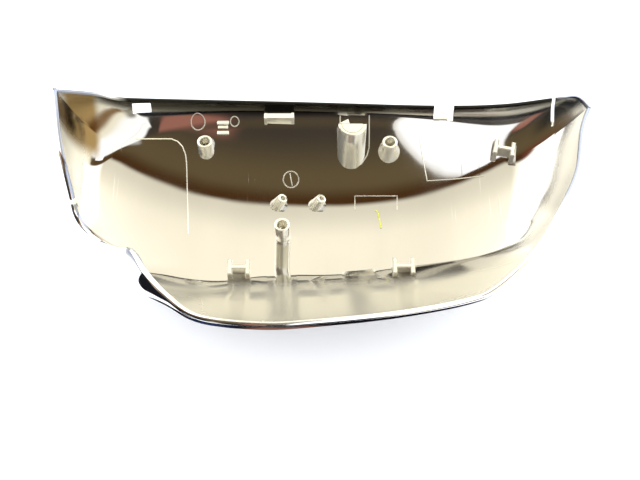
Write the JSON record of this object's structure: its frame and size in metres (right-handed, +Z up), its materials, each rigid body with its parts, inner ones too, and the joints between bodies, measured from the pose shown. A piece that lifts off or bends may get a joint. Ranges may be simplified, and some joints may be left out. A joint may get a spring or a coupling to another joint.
{
  "type": "wing mirror cover",
  "caption": "Chromed wing mirror cover for a family car, with screw bosses, pegs and clips moulded on its inner face.",
  "frame": {"origin": "centre of the cover's box at the height of its lowest point", "axes": "+X towards the pointed end, +Y towards the straight edge, +Z up out of the opening"},
  "size_m": [0.256, 0.1339, 0.0615],
  "materials": {
    "chrome": "bright chrome plating on moulded ABS"
  },
  "bodies": {
    "root": {"mirror_cover": "chrome"}
  },
  "joints": []
}
